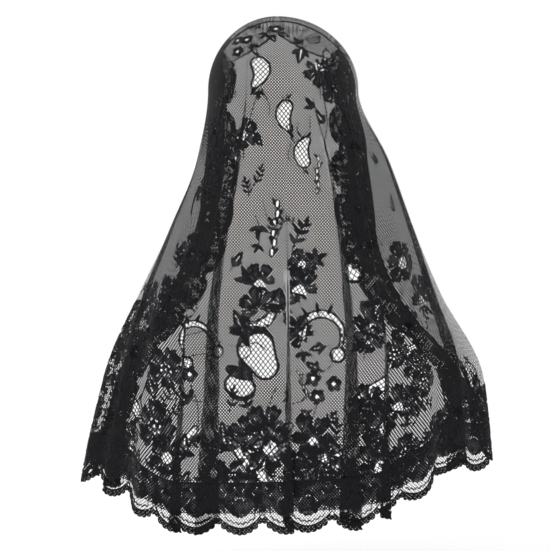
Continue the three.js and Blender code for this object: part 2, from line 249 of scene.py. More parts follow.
def cloth_point(across, down):
    """A point of the cloth's middle surface."""
    across, down = np.broadcast_arrays(np.asarray(across, float), np.asarray(down, float))
    lift = NET_WALL / 2
    fall = np.maximum(0, (down - DOME_SHARE) / (1 - DOME_SHARE))
    point = fall_point(across, fall)
    turn = np.pi / 2 * np.clip(down / DOME_SHARE, 0, 1)
    start = ridge_reach(across)
    rim = fall_point(across, np.zeros_like(down))
    top = ridge_height(start)
    dome = np.stack([
        rim[..., 0] * np.sin(turn),
        start + (rim[..., 1] - start) * np.sin(turn),
        rim[..., 2] + (top - rim[..., 2]) * np.cos(turn),
    ], axis=-1)
    point = np.where((down < DOME_SHARE)[..., None], dome, point)
    point[..., 2] += lift
    return point


def cloth_frame(across, down):
    """Points of the cloth and their outward directions."""
    step = 1e-3
    down = np.maximum(down, 2 * step)
    sideways = cloth_point(np.minimum(1, across + step), down)
    sideways = sideways - cloth_point(np.maximum(-1, across - step), down)
    lower = cloth_point(across, np.minimum(1, down + step))
    downwards = lower - cloth_point(across, down - step)
    normal = np.cross(downwards, sideways)
    normal /= np.maximum(np.linalg.norm(normal, axis=-1, keepdims=True), 1e-9)
    return cloth_point(across, down), normal


# Flat lengths on the cloth

ROWS = 220  # rows at which lengths along the cloth are known
ROW_SAMPLES = 1200

row_down = np.linspace(0.0, 1.0, ROWS + 1)
row_across = np.linspace(-1.0, 1.0, ROW_SAMPLES + 1)


def measure_rows():
    """Length along each row, from the middle of the back to each across."""
    points = cloth_point(row_across[None, :], row_down[:, None])
    steps = np.linalg.norm(np.diff(points, axis=1), axis=-1)
    lengths = np.concatenate([np.zeros((ROWS + 1, 1)), np.cumsum(steps, axis=1)], axis=1)
    middle = ROW_SAMPLES // 2
    return lengths - lengths[:, middle:middle + 1]


row_length = measure_rows()
fall_length = np.linalg.norm(
    fall_point(row_across, np.ones_like(row_across), False)
    - fall_point(row_across, np.zeros_like(row_across), False),
    axis=-1,
) / (1 - DOME_SHARE)


def between(table, r, c):
    """The value of a table at row r and column c, which needn't be whole."""
    i = np.minimum(r.astype(int), table.shape[0] - 2)
    j = np.minimum(c.astype(int), table.shape[1] - 2)
    u, v = r - i, c - j
    above = table[i, j] * (1 - v) + table[i, j + 1] * v
    below = table[i + 1, j] * (1 - v) + table[i + 1, j + 1] * v
    return above * (1 - u) + below * u


def length_at(across, down):
    """Length along the row from the middle of the back."""
    column = (np.clip(across, -1, 1) + 1) / 2 * ROW_SAMPLES
    return between(row_length, np.clip(down, 0, 1) * ROWS, column)


def invert_rows(count=1600):
    """across at even lengths along each row, with the lengths' ends."""
    low, high = row_length.min() - 1, row_length.max() + 1
    even = np.linspace(low, high, count)
    table = np.stack([np.interp(even, lengths, row_across) for lengths in row_length])
    return table, low, high


across_table, table_low, table_high = invert_rows()


def across_at(length, down):
    """across of the point of a row at this length from the middle of the back."""
    share = np.clip((length - table_low) / (table_high - table_low), 0, 1)
    return between(across_table, np.clip(down, 0, 1) * ROWS, share * (across_table.shape[1] - 1))


def down_per_mm(across):
    """Share of the way down the cloth that one millimetre makes."""
    return 1 / np.interp(across, row_across, fall_length)


def hem_inset(across, inset):
    """down of a point this far above the hem."""
    return 1 - inset * down_per_mm(across)


def face_inset(side, down, inset):
    """across of a point this far in from a face edge."""
    edge = length_at(np.full_like(down, side), down)
    return across_at(edge - side * inset, down)


def lay(flat, across, down, turn=0.0, size=1.0, mirror=1):
    """across and down of flat points round a place on the cloth. x is right and y is up."""
    angle = math.radians(turn)
    x = flat[:, 0] * mirror * size
    y = flat[:, 1] * size
    x, y = x * math.cos(angle) - y * math.sin(angle), x * math.sin(angle) + y * math.cos(angle)
    below = np.clip(down - y * down_per_mm(across), 0.004, 0.999)
    start = length_at(np.full_like(below, across), below)
    return across_at(start + x, below), below


# Flat shapes, as signed distances in mm that are below 0 inside

def disc(x, y, cx, cy, r):
    return np.hypot(x - cx, y - cy) - r


def stroke(x, y, points, widths):
    """A line through points whose half width runs through widths."""
    best = np.full_like(x, 1e3)
    for (ax, ay), (bx, by), wa, wb in zip(points[:-1], points[1:], widths[:-1], widths[1:]):
        dx, dy = bx - ax, by - ay
        t = np.clip(((x - ax) * dx + (y - ay) * dy) / (dx * dx + dy * dy + 1e-9), 0, 1)
        best = np.minimum(best, np.hypot(x - ax - t * dx, y - ay - t * dy) - (wa + t * (wb - wa)))
    return best


def leaf(x, y, cx, cy, angle, length, width):
    """A pointed leaf that grows from (cx, cy)."""
    a = math.radians(angle)
    u = (x - cx) * math.cos(a) + (y - cy) * math.sin(a)
    v = -(x - cx) * math.sin(a) + (y - cy) * math.cos(a)
    t = np.clip(u / length, 0, 1)
    half = width / 2 * np.sin(np.pi * t ** 0.8) ** 0.75
    return np.maximum(np.abs(v) - half, np.maximum(-u, u - length)) * 0.8


def arc_points(cx, cy, r, start, end, count=12, grow=0.0):
    angles = np.radians(np.linspace(start, end, count))
    radii = r + grow * np.linspace(0, 1, count)
    return list(zip(cx + radii * np.cos(angles), cy + radii * np.sin(angles)))


def merge(*fields):
    return np.minimum.reduce(fields)


def cut(field, *holes):
    for hole in holes:
        field = np.maximum(field, -hole)
    return field


# Each motif gives its close cloth, its windows where the fine net is cut away, and the part of
# the windows that coarse net fills. Its reach is the half side of the square it is drawn in.

NOTHING = 1e3


def nowhere(x):
    return np.full_like(x, NOTHING)


def flower(x, y, turn, span, reaches, waves=0.05, parting=0.38, slit=0.75):
    """Petals side by side over an angle, parted by thin gaps, with a crescent slit in each.

    reaches has one length for each petal, from the angle turn onwards.
    """
    count = len(reaches)
    r = np.hypot(x, y)
    place = ((np.degrees(np.arctan2(y, x)) - turn) % 360) / span * count
    petal = np.minimum(place.astype(int), count - 1)
    q = np.clip(2 * (place - petal) - 1, -1, 1)
    reach = np.asarray(reaches, float)[petal]
    arc = r * math.radians(span / count) / 2
    edge = reach * (1 - 0.2 * np.abs(q) ** 2.4 + waves * np.cos(3 * math.pi * q))
    gap = arc * (1 - np.abs(q)) - parting - 0.1 * np.maximum(0, r - 0.55 * reach)
    s = np.clip((r / reach - 0.4) / 0.42, 0, 1)
    swell = np.sin(math.pi * s)
    crescent = np.abs(q - 0.1 - 0.36 * swell) * arc - slit * swell
    crescent = np.where((s > 0) & (s < 1), crescent, 1.0)
    cloth = np.maximum((r - edge) * 0.9, -gap)
    return np.where(place <= count, cut(cloth, crescent), 1.0)


def dots(x, y, r, count, size):
    """A ring of round holes."""
    angles = [2 * math.pi * k / count for k in range(count)]
    return merge(*[disc(x, y, r * math.cos(a), r * math.sin(a), size) for a in angles])


def rose(x, y):
    """A large open flower with coarse net at its heart."""
    heart = disc(x, y, 1, -1, 7.4)
    cloth = cut(flower(x, y, 12, 360, (25, 27, 22, 26, 23, 27)), heart)
    return cloth, heart + 0.6, heart + 0.2


def side_rose(x, y):
    """A half open flower, seen from the side, on its calyx."""
    heart = stroke(x, y, [(-7, -12), (0, -9), (7, -12)], [3.2, 5.6, 3.2])
    petals = flower(x, y + 12, 0, 180, (23, 31, 33, 24))
    calyx = merge(*[leaf(x, y, 0, -9, a, 17, 6.5) for a in (215, 262, 310)])
    stalk = stroke(x, y, [(1, -20), (3, -27)], [1.5, 0.9])
    return cut(merge(petals, calyx, stalk), heart), heart + 0.5, heart + 0.2


def ring_rose(x, y):
    """A broad flower with a ring of round holes at its heart."""
    holes = merge(dots(x, y, 6.6, 7, 1.75), disc(x, y, 0, 0, 1.8))
    inner = disc(x, y, 0, 0, 9.6)
    cloth = merge(flower(x, y, 30, 360, (26, 22, 25, 21, 24), 0.07), inner)
    return cut(cloth, holes), holes + 0.2, nowhere(x)


def wind_rose(x, y):
    """A flower blown to one side, with a tail of coarse net under it."""
    hollow = stroke(x, y, [(-17, -10), (-4, -19), (12, -20), (22, -12)], [3.2, 5.2, 4.6, 2.4])
    petals = flower(x, y + 4, -22, 236, (23, 28, 29, 25, 19))
    rim = cut(hollow - 1.7, hollow)
    window = cut(hollow, petals - 0.4)
    return merge(petals, rim), window + 0.6, window


def daisy(x, y):
    """A small flower with one round hole."""
    hole = disc(x, y, 0, 0, 2.6)
    cloth = cut(merge(disc(x, y, 0, 0, 5.5), dots(x, y, 5.8, 5, 3.9)), hole)
    return cloth, hole + 0.2, nowhere(x)


def sprig(x, y):
    """A stalk with pairs of small leaves."""
    parts = [stroke(x, y, [(0, -15), (1.5, 0), (0, 12)], [0.8, 0.8, 0.6])]
    for k, level in enumerate((-9, -1, 6)):
        size = 10.5 - k
        parts.append(leaf(x, y, 0.8, level, 42, size, 3.8))
        parts.append(leaf(x, y, 0.8, level + 1.5, 138, size, 3.8))
    parts.append(leaf(x, y, 0, 10, 90, 9, 3.8))
    return merge(*parts), nowhere(x), nowhere(x)


def trefoil(x, y):
    """Three leaves on a curved stalk."""
    parts = [leaf(x, y, 0, -3, a, n, 5.4) for a, n in ((28, 12), (86, 15), (146, 13))]
    parts.append(stroke(x, y, [(0, -2), (1.5, -8), (5, -14)], [0.8, 0.7, 0.7]))
    return merge(*parts), nowhere(x), nowhere(x)


def leafy_spray(x, y):
    """A branch that bends over, with single leaves along it."""
    path = arc_points(14, -18, 36, 178, 92, 8)
    parts = [stroke(x, y, path, [1.0, 1.0, 0.9, 0.9, 0.8, 0.8, 0.7, 0.6])]
    for k in range(1, 8):
        foot = path[k]
        parts.append(leaf(x, y, foot[0], foot[1], 172 - 12 * k, 12 - 0.4 * k, 4.6))
        if k % 2:
            parts.append(leaf(x, y, foot[0], foot[1], 40 - 14 * k, 10, 4.2))
    return merge(*parts), nowhere(x), nowhere(x)


def ladder_leaf(x, y):
    """A lobed leaf with a slit that small bars cross."""
    body = merge(
        leaf(x, y, 0, -16, 90, 36, 13),
        leaf(x, y, 0, -10, 48, 19, 9),
        leaf(x, y, 0, -10, 132, 19, 9),
    )
    slit = stroke(x, y, [(0, -9), (-0.5, 12)], [1.7, 1.0])
    bars = [stroke(x, y, [(-3, level), (3, level + 1.2)], [0.55, 0.55]) for level in range(-8, 12, 4)]
    stalk = stroke(x, y, [(0, -14), (0, -22)], [1.1, 0.9])
    cloth = merge(cut(merge(body, stalk), slit), *bars)
    return cloth, slit + 0.6, nowhere(x)


def pod(x, y):
    """A round pod of coarse net in a thick outline."""
    hollow = disc(x, y, 0, -3, 8.6)
    tip = stroke(x, y, [(0, 4), (3, 13), (9, 18)], [3.4, 1.8, 0.8])
    cloth = cut(merge(disc(x, y, 0, -3, 11.2), tip), hollow)
    return cloth, hollow + 0.7, hollow


def bean(x, y):
    """A kidney of coarse net, broad above and bent below, with two small leaves on it."""
    hollow = stroke(x, y, [(0, 12), (3, 6), (4, 0), (2, -8), (-3, -15)], [7.5, 8.5, 8, 6, 3.5])
    rim = cut(hollow - 2.2, hollow)
    stalk = stroke(x, y, [(0, 20), (-2, 27)], [1.1, 0.7])
    leaves = merge(leaf(x, y, -3, -18, 240, 10, 3.6), leaf(x, y, -2, 22, 130, 9, 3.6))
    return merge(rim, stalk, leaves), hollow + 0.5, hollow


def scroll(x, y):
    """A scroll of coarse net between two cords, with sprouts, that ends in a round pod."""
    path = arc_points(0, -6, 23, 190, 10, 14) + [(22, -12), (19, -22)]
    widths = [0.8 + 2.6 * math.sin(math.pi * i / 15) for i in range(16)]
    hollow = merge(stroke(x, y, path, widths), disc(x, y, 17, -27, 6.8))
    outline = merge(stroke(x, y, path, [w + 1.7 for w in widths]), disc(x, y, 17, -27, 9.0))
    sprouts = []
    for k, angle in enumerate((150, 122, 96, 70)):
        foot = (23 * math.cos(math.radians(angle)), -6 + 23 * math.sin(math.radians(angle)))
        sprouts.append(leaf(x, y, foot[0], foot[1], angle + 12 - 6 * k, 14, 4.2))
    return merge(cut(outline, hollow), *sprouts), hollow + 0.7, hollow


def paisley(x, y):
    """A large drop of coarse net, a smaller one below it, and dark leaves where they meet."""
    drop = stroke(x, y, [(-3, 8), (8, -12)], [20, 13])
    pod = stroke(x, y, [(-28, -31), (-16, -36)], [9, 11])
    hollow = merge(drop, pod)
    rim = cut(hollow - 2.7, hollow)
    leaves = merge(
        leaf(x, y, -38, -12, -24, 34, 13),
        leaf(x, y, -34, 26, 8, 34, 11),
        leaf(x, y, -22, 30, -60, 24, 9),
        stroke(x, y, arc_points(-2, 9, 20, 175, 20, 8), [1, 3.4, 5, 5.2, 4.4, 3.2, 2.4, 1]),
        stroke(x, y, [(-20, -8), (-12, -16), (-8, -26)], [4, 5, 2]),
        stroke(x, y, arc_points(-19, -34, 14, -30, -150, 7), [1, 2.2, 2.8, 3, 2.6, 2, 1]),
    )
    window = cut(hollow, leaves)
    return merge(rim, leaves), window + 0.7, window


def net_band(x, y):
    """A slanting band of coarse net with leaves on its edges."""
    hollow = stroke(x, y, [(-24, 24), (-6, 4), (8, -12), (24, -24)], [2.6, 6.4, 6.2, 3.2])
    leaves = [
        leaf(x, y, -15, 13, 175, 21, 8.5),
        leaf(x, y, -4, 2, 205, 19, 7.5),
        leaf(x, y, 10, -15, 195, 16, 6.5),
    ]
    return merge(cut(hollow - 1.7, hollow), *leaves), hollow + 0.7, hollow


def chain(x, y):
    """A run of loops along a stalk."""
    parts = []
    holes = []
    for k in range(6):
        cy = 27 - 10.5 * k
        cx = 1.6 * math.sin(1.9 * k)
        holes.append(stroke(x, y, [(cx, cy - 2.2), (cx, cy + 2.2)], [1.7, 1.7]))
        parts.append(holes[-1] - 1.5)
        parts.append(leaf(x, y, cx, cy - 3, 55 if k % 2 else 125, 12, 4.0))
    windows = merge(*holes)
    return cut(merge(*parts), windows), windows + 0.5, nowhere(x)


def bud(x, y):
    """A bud with two sepals."""
    parts = [
        leaf(x, y, 0, -9, 90, 20, 9),
        leaf(x, y, 0, -9, 50, 13, 4.2),
        leaf(x, y, 0, -9, 130, 13, 4.2),
        stroke(x, y, [(0, -8), (0, -16)], [1, 0.8]),
    ]
    gap = stroke(x, y, [(0, -3), (0, 6)], [0.9, 0.5])
    return cut(merge(*parts), gap), nowhere(x), nowhere(x)


MOTIFS = {motif.__name__: (motif, reach) for motif, reach in (
    (rose, 30), (side_rose, 31), (ring_rose, 29), (wind_rose, 32), (daisy, 12), (sprig, 21),
    (trefoil, 18), (leafy_spray, 42), (ladder_leaf, 24), (pod, 22), (bean, 31), (scroll, 40),
    (paisley, 50), (net_band, 38), (chain, 34), (bud, 17),
)}

# Where the motifs lie: across, down, turn and size, and -1 where one is mirrored
PLACES_BY_KIND = {
    "daisy": (
        (-0.01, 0.12, 0, 1.1), (-0.23, 0.15, 0, 1.05), (-0.31, 0.15, 0, 1), (-0.27, 0.18, 0, 1.05),
        (0.08, 0.75, 0, 1.05), (0.12, 0.76, 20, 1.05), (0.09, 0.78, 50, 1.05), (-0.24, 0.74, 0, 1.1),
    ),
    "trefoil": (
        (-0.09, 0.14, 150, 1), (-0.15, 0.17, 190, 0.95), (-0.1, 0.27, 180, 0.8), (0.12, 0.16, 30, 1),
        (0.14, 0.29, 40, 1.1), (0.28, 0.43, 20, 1.1), (0.23, 0.63, 10, 1.35), (-0.06, 0.5, 180, 1.2),
        (-0.06, 0.53, 160, 0.9), (0.1, 0.55, -62, 1.3), (-0.09, 0.58, 30, 1.45), (0.06, 0.71, 190, 1),
        (-0.08, 0.79, 20, 0.9), (0.06, 0.85, 10, 1), (-0.13, 0.9, -60, 1.2), (-0.09, 0.91, 20, 1.2),
        (0.06, 0.92, 200, 0.9), (-0.24, 0.78, 60, 1.2), (-0.25, 0.62, 15, 1), (0.32, 0.84, 170, 1.1),
        (-0.07, 0.9, 20, 1.1), (0.01, 0.78, 120, 1), (0.01, 0.88, 180, 1), (0.14, 0.9, 10, 1),
    ),
    "bud": (
        (-0.03, 0.15, 200, 0.9), (0.04, 0.14, 240, 0.9), (0.2, 0.31, 20, 1), (-0.09, 0.35, 215, 0.9),
        (-0.12, 0.55, -30, 1.1), (0.01, 0.65, 10, 1), (0.06, 0.66, 150, 1), (0.08, 0.73, 60, 1),
        (0.06, 0.81, 120, 1), (-0.24, 0.85, 0, 1), (0.21, 0.7, 130, 1.1), (0.34, 0.83, 10, 1.1),
        (0.09, 0.7, 100, 1), (0.12, 0.91, 20, 1.1),
    ),
    "sprig": (
        (-0.22, 0.11, 70, 1), (-0.08, 0.41, -20, 0.9), (-0.12, 0.43, 20, 0.9), (0.33, 0.3, 0, 1.1),
        (0.4, 0.48, -20, 0.9), (-0.36, 0.55, 20, 1), (0.06, 0.51, -28, 1.45, -1),
        (0.12, 0.84, -15, 1.1), (-0.12, 0.78, -10, 1), (0.11, 0.82, -50, 1), (0.47, 0.78, -30, 1.4),
        (-0.12, 0.9, -20, 0.9),
    ),
    "bean": (
        (-0.11, 0.23, 0, 1.2), (0.23, 0.15, -66, 0.6), (0.27, 0.2, -24, 0.85), (0.04, 0.31, 0, 1, -1),
        (0.09, 0.37, 170, 1), (0.6, 0.82, -10, 1),
    ),
    "ladder_leaf": (
        (0.12, 0.19, 165, 0.9), (-0.1, 0.66, 24, 1.15), (-0.13, 0.84, 10, 0.95),
        (-0.14, 0.86, 80, 0.95), (-0.37, 0.78, 30, 0.9), (0.47, 0.82, 20, 0.8),
    ),
    "side_rose": (
        (0.21, 0.23, 150, 0.95), (-0.23, 0.37, 20, 0.85), (0.3, 0.35, -10, 0.95),
        (0.42, 0.65, -10, 1.18), (0.24, 0.52, -14, 0.9), (-0.33, 0.38, 10, 0.85),
        (-0.34, 0.61, 20, 0.99), (0.06, 0.59, -14, 0.99), (-0.05, 0.58, 0, 0.87),
        (0.01, 0.62, 20, 0.93), (0.05, 0.67, 80, 0.93), (-0.03, 0.82, 6, 1.13), (0.08, 0.84, -4, 1.13),
        (0.11, 0.87, -30, 0.87), (-0.41, 0.68, -30, 0.99), (-0.45, 0.89, 40, 1.07),
        (0.23, 0.66, -20, 1.1), (0.32, 0.68, 24, 1), (0.3, 0.81, -20, 0.93), (0.23, 0.89, 20, 1.13),
        (0.22, 0.79, -10, 0.9), (0.13, 0.9, 0, 0.85),
    ),
    "rose": (
        (0.3, 0.26, 0, 0.9), (-0.15, 0.34, 0, 0.85), (0.23, 0.47, 0, 0.8), (0.36, 0.58, 0, 1.05),
        (-0.37, 0.33, 0, 0.8), (-0.3, 0.54, 0, 0.99), (-0.36, 0.65, 0, 0.93), (0.06, 0.56, 0, 0.74),
        (-0.02, 0.86, 0, 1.21), (-0.47, 0.74, 30, 1.24), (-0.31, 0.88, 0, 1), (0.22, 0.69, 0, 0.8),
        (0.24, 0.84, 0, 1.27), (0.46, 0.89, 0, 1.13), (-0.14, 0.9, 0, 0.8),
    ),
    "leafy_spray": (
        (-0.29, 0.28, -10, 0.55), (0.24, 0.39, -10, 0.8), (0.44, 0.71, -10, 0.8), (0.01, 0.5, -20, 0.7),
        (-0.3, 0.79, 0, 0.9), (-0.3, 0.82, 0, 0.8), (0.35, 0.86, -20, 0.9), (-0.23, 0.87, 0, 0.8),
    ),
    "chain": (
        (0.12, 0.41, -10, 0.8), (-0.01, 0.5, -6, 1.15), (0.06, 0.76, 20, 0.6),
    ),
    "pod": (
        (0.21, 0.57, 10, 1.35), (-0.14, 0.7, 0, 0.7),
    ),
    "ring_rose": (
        (-0.32, 0.43, 0, 0.9), (-0.33, 0.74, 0, 1.12), (-0.35, 0.84, 20, 1.21), (0.29, 0.73, 0, 0.87),
        (0.34, 0.76, 0, 0.74), (0.36, 0.8, 0, 0.87), (0.31, 0.91, 20, 1),
    ),
    "wind_rose": (
        (-0.05, 0.63, 20, 1.05, -1), (-0.08, 0.84, 60, 1), (0.09, 0.89, 90, 1.21), (0.05, 0.9, 60, 1),
        (-0.46, 0.64, -30, 0.93), (-0.49, 0.92, -10, 1.34), (0.22, 0.83, 60, 1.07),
        (0.4, 0.91, 10, 1.13),
    ),
    "scroll": (
        (0.1, 0.67, 0, 1.15), (-0.24, 0.68, 24, 1, -1),
    ),
    "paisley": (
        (-0.05, 0.71, 0, 1.1),
    ),
    "net_band": (
        (-0.07, 0.88, 0, 1.15), (-0.45, 0.83, 20, 1.15), (-0.25, 0.87, 10, 1.1, -1),
        (0.34, 0.73, 60, 0.7), (0.23, 0.77, 75, 1.1), (0, 0.86, 85, 1.1), (0.36, 0.91, 60, 1),
    ),
}
PLACES = [(kind, *place, 1)[:6] for kind, group in PLACES_BY_KIND.items() for place in group]

# The sides and the front flaps are covered by offset rows of motifs
ROW_KINDS = (
    "rose", "leafy_spray", "side_rose", "ladder_leaf", "ring_rose", "wind_rose", "sprig", "pod",
)
FLAP_KINDS = ("sprig", "bud", "trefoil")
ROW_HEIGHT = 38.0
ROW_STEP = 41.0  # along a row
ROWS_SPAN = np.array([
    # down, and the shares of the half width where the rows begin and end
    (0.45, 0.66, 0.66),
    (0.54, 0.52, 0.7),
    (0.66, 0.38, 0.72),
    (0.8, 0.38, 0.9),
    (1.0, 0.38, 1.0),
])
ROWS_TOP = 0.3  # down of the highest row
FLAP_STEP = 60.0  # along a row of sprays
BARE = {-1: (0.5, 0.3, 0.58), 1: (0.5, 0.48, 0.84)}  # side: across it begins at, downs it spans
ROW_FOOT = 0.6  # of a row's height, from the edging to the lowest row
SIDE_ACROSS = 0.8  # where the rows' heights are measured
SEAM_KINDS = ("trefoil", "bud", "sprig", "trefoil", "bud")
SEAM_STEP = 21.0  # between the leaves on the hem's seam
SEAM_RISE = 7.0  # above it
ROWS_CLEAR = 29.0  # of the motifs placed above


def side_places():
    """Motifs in offset rows over both sides, and small sprays over the front flaps."""
    taken = np.array([cloth_point(place[1], place[2]) for place in PLACES])
    per_mm = float(down_per_mm(SIDE_ACROSS))
    places = []
    for row in range(int((1 - ROWS_TOP) / per_mm / ROW_HEIGHT)):
        down = 1 - (EDGING_WIDTH + ROW_HEIGHT * (ROW_FOOT + row)) * per_mm
        begin, end = (np.interp(down, ROWS_SPAN[:, 0], ROWS_SPAN[:, k]) for k in (1, 2))
        for side in (-1, 1):
            limits = side * np.array([begin, end, 1.0])
            first, last, edge = np.abs(length_at(limits, np.full(3, down)))
            edge -= EDGING_WIDTH
            rows = np.arange(first + 0.5 * (row % 2) * ROW_STEP, min(last, edge), ROW_STEP)
            flap = np.arange(last + 0.5 * (1 + row % 2) * FLAP_STEP, edge, FLAP_STEP)
            for k, along in enumerate(np.concatenate([rows, flap])):
                across = float(across_at(np.array([along * side]), np.array([down]))[0])
                outside, upper, lower = BARE[side]
                nearest = np.linalg.norm(taken - cloth_point(across, down), axis=1).min()
                if abs(across) > outside and upper < down < lower or nearest < ROWS_CLEAR:
                    continue
                kinds = ROW_KINDS if k < len(rows) else FLAP_KINDS
                kind = kinds[(3 * row + 5 * k + (side > 0)) % len(kinds)]
                turn = side * (10 + 9 * ((row + 2 * k) % 5)) - 20
                size = 0.88 + 0.07 * ((2 * row + k) % 4)
                places.append((kind, across, down, turn, size, side))
    return places


def seam_leaves():
    """Small leaves that stand on the hem's seam between the flowers."""
    ends = length_at(np.array([-0.98, 0.98]), np.ones(2))
    places = []
    for k in range(int((ends[1] - ends[0]) / SEAM_STEP)):
        across = across_at(np.array([ends[0] + (k + 0.5) * SEAM_STEP]), np.ones(1))
        down = float(hem_inset(across, EDGING_WIDTH + SEAM_RISE)[0])
        kind = SEAM_KINDS[k % len(SEAM_KINDS)]
        turn = 25 - 17 * (k % 4)
        size = 0.8 + 0.1 * (k % 3)
        places.append((kind, float(across[0]), down, turn, size, 1))
    return places


# Cords between the motifs: across, down of a few points of each
CORDS = [
    [(-0.239, 0.141), (-0.139, 0.172), (-0.121, 0.201)],
    [(-0.098, 0.262), (-0.125, 0.288), (-0.139, 0.333), (-0.139, 0.384)],
    [(-0.091, 0.261), (-0.044, 0.289), (-0.043, 0.310)],
    [(0.023, 0.276), (0.038, 0.284), (0.045, 0.288)],
    [(0.050, 0.328), (0.055, 0.352), (0.076, 0.353)],
    [(0.052, 0.355), (0.042, 0.376), (0.052, 0.392)],
    [(0.089, 0.347), (0.119, 0.331), (0.128, 0.309)],
    [(0.089, 0.347), (0.075, 0.334), (0.084, 0.321)],
    [(0.220, 0.216), (0.231, 0.263), (0.212, 0.327), (0.149, 0.402)],
    [(0.214, 0.212), (0.220, 0.253), (0.217, 0.281)],
    [(-0.053, 0.453), (-0.037, 0.477), (-0.022, 0.496)],
    [(0.007, 0.477), (0.003, 0.496), (-0.005, 0.516)],
    [(0.049, 0.537), (0.044, 0.558), (0.050, 0.581)],
    [(-0.047, 0.650), (-0.062, 0.666), (-0.077, 0.682)],
    [(-0.127, 0.692), (-0.098, 0.695), (-0.057, 0.689), (-0.028, 0.702)],
    [(-0.081, 0.685), (-0.070, 0.705), (-0.098, 0.718)],
    [(0.007, 0.591), (-0.001, 0.614), (0.004, 0.637)],
    [(0.056, 0.687), (0.077, 0.664), (0.103, 0.639)],
    [(0.120, 0.706), (0.115, 0.732), (0.094, 0.741)],
    [(0.091, 0.790), (0.081, 0.812), (0.064, 0.838)],
    [(0.064, 0.776), (0.055, 0.788), (0.012, 0.800)],
    [(0.057, 0.765), (0.067, 0.753), (0.076, 0.748)],
    [(-0.006, 0.761), (-0.017, 0.785), (-0.024, 0.804)],
    [(-0.119, 0.774), (-0.080, 0.779), (-0.053, 0.786)],
    [(-0.127, 0.822), (-0.099, 0.847), (-0.060, 0.858)],
    [(0.064, 0.819), (0.057, 0.844), (0.063, 0.864)],
    [(0.122, 0.804), (0.124, 0.837), (0.118, 0.866)],
    [(-0.144, 0.825), (-0.131, 0.842), (-0.104, 0.850)],
    [(0.128, 0.847), (0.131, 0.873), (0.127, 0.892)],
    [(-0.147, 0.668), (-0.152, 0.692), (-0.232, 0.708), (-0.248, 0.718)],
    [(-0.303, 0.687), (-0.240, 0.674), (-0.224, 0.668)],
    [(-0.375, 0.756), (-0.408, 0.800), (-0.456, 0.832)],
    [(-0.299, 0.771), (-0.304, 0.805), (-0.324, 0.839)],
    [(-0.387, 0.781), (-0.418, 0.818), (-0.363, 0.828)],
    [(-0.238, 0.757), (-0.230, 0.787), (-0.227, 0.822)],
    [(-0.246, 0.764), (-0.296, 0.778), (-0.246, 0.800)],
    [(-0.453, 0.867), (-0.386, 0.869), (-0.356, 0.867)],
    [(-0.237, 0.618), (-0.240, 0.642), (-0.290, 0.668)],
    [(-0.243, 0.517), (-0.244, 0.555), (-0.260, 0.591)],
    [(-0.387, 0.438), (-0.373, 0.463), (-0.356, 0.481)],
    [(-0.344, 0.277), (-0.352, 0.312), (-0.335, 0.361)],
    [(0.222, 0.645), (0.235, 0.661), (0.283, 0.679)],
    [(0.299, 0.727), (0.327, 0.752), (0.351, 0.771)],
    [(0.226, 0.677), (0.217, 0.699), (0.215, 0.727)],
    [(0.231, 0.794), (0.224, 0.813), (0.219, 0.825)],
    [(0.296, 0.784), (0.317, 0.811), (0.306, 0.835)],
    [(0.357, 0.831), (0.343, 0.855), (0.328, 0.871)],
    [(0.457, 0.794), (0.561, 0.800), (0.576, 0.811)],
    [(0.442, 0.848), (0.452, 0.870), (0.457, 0.882)],
    [(0.328, 0.590), (0.305, 0.610), (0.317, 0.638)],
    [(0.287, 0.488), (0.287, 0.515), (0.302, 0.542)],
    [(0.240, 0.437), (0.249, 0.463), (0.282, 0.487)],
    [(0.333, 0.301), (0.316, 0.334), (0.276, 0.387)],
    [(0.205, 0.492), (0.209, 0.529), (0.209, 0.560)],
    [(0.050, 0.322), (0.056, 0.338), (0.069, 0.349), (0.091, 0.355)],
    [(0.040, 0.324), (0.050, 0.342), (0.060, 0.355), (0.075, 0.364)],
]


# Drawing shapes as meshes

CORNERS = ((0, 0), (1, 0), (1, 1), (0, 1))


def outline_cells(field):
    """Triangles of the part of a grid where the field is below 0.

    Points are numbered in the order: grid points, crossings along rows, crossings along columns.
    Returns the triangles and, for each used point, the two grid points it lies between and its
    share of the way.
    """
    ny, nx = field.shape
    inside = field < 0
    grid = np.arange(ny * nx).reshape(ny, nx)
    across_base = ny * nx
    down_base = across_base + ny * (nx - 1)
    across_id = across_base + np.arange(ny * (nx - 1)).reshape(ny, nx - 1)
    down_id = down_base + np.arange((ny - 1) * nx).reshape(ny - 1, nx)
    corner = [grid[:-1, :-1], grid[:-1, 1:], grid[1:, 1:], grid[1:, :-1]]
    side = [across_id[:-1, :], down_id[:, 1:], across_id[1:, :], down_id[:, :-1]]
    code = sum(
        inside[dy:ny - 1 + dy, dx:nx - 1 + dx] * (1 << k) for k, (dx, dy) in enumerate(CORNERS)
    )
    triangles = []
    for case in range(1, 16):
        cells = code == case
        if not cells.any():
            continue
        ring = []
        for k in range(4):
            here, after = case >> k & 1, case >> (k + 1) % 4 & 1
            if here:
                ring.append(corner[k][cells])
            if here != after:
                ring.append(side[k][cells])
        for k in range(1, len(ring) - 1):
            triangles.append(np.stack([ring[0], ring[k], ring[k + 1]], axis=1))
    triangles = np.concatenate(triangles)
    used, inverse = np.unique(triangles, return_inverse=True)
    first = used.copy()
    second = used.copy()
    on_row = (used >= across_base) & (used < down_base)
    row, column = np.divmod(used[on_row] - across_base, nx - 1)
    first[on_row], second[on_row] = row * nx + column, row * nx + column + 1
    on_column = used >= down_base
    row, column = np.divmod(used[on_column] - down_base, nx)
    first[on_column], second[on_column] = row * nx + column, (row + 1) * nx + column
    values = field.ravel()
    a, b = values[first], values[second]
    share = np.where(first == second, 0.0, a / np.where(a == b, 1.0, a - b))
    return inverse.reshape(-1, 3), first, second, np.clip(share, 0.02, 0.98) * (first != second)


